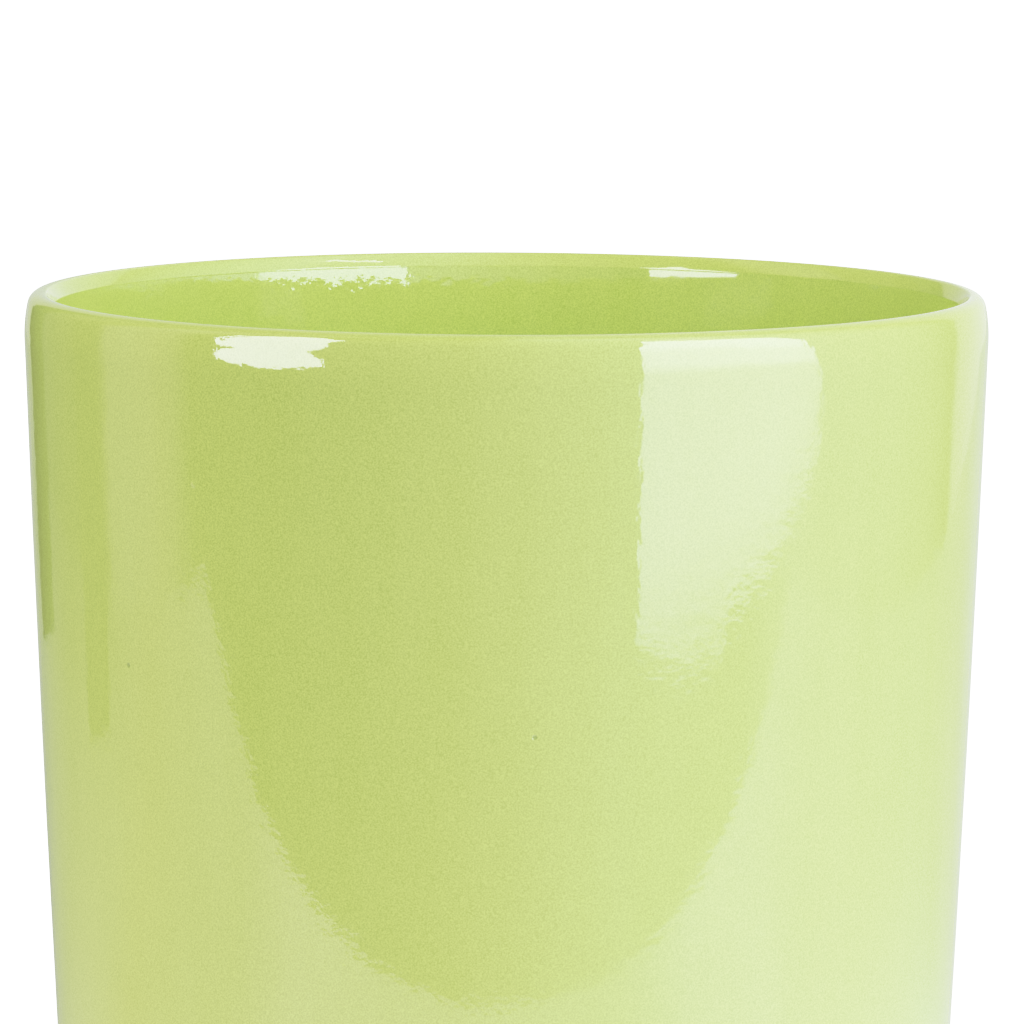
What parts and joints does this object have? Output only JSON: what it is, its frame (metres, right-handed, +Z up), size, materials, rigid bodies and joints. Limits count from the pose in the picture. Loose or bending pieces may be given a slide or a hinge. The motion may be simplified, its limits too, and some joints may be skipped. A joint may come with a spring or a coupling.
{
  "type": "glazed terracotta cover pot",
  "caption": "Tapered round terracotta cover pot with a glossy lime-green glaze inside and out, a rounded lip, a bare clay foot ring and felt feet.",
  "frame": {"origin": "centre of the circle that the pot stands on, on the plane of its felt feet", "axes": "+Z up along the pot's axis, towards the lip; X and Y are equal, and the four felt feet lie between them"},
  "size_m": [0.14, 0.14, 0.13],
  "materials": {
    "glaze": "gloss",
    "bare_terracotta": "matte",
    "felt": "matte",
    "adhesive": "satin"
  },
  "bodies": {
    "root": {"terracotta_body": "bare_terracotta", "outer_glaze": "glaze", "inner_glaze": "glaze", "pad_adhesive": "adhesive", "foot_pad_1": "felt", "foot_pad_2": "felt", "foot_pad_3": "felt", "foot_pad_4": "felt"}
  },
  "joints": []
}
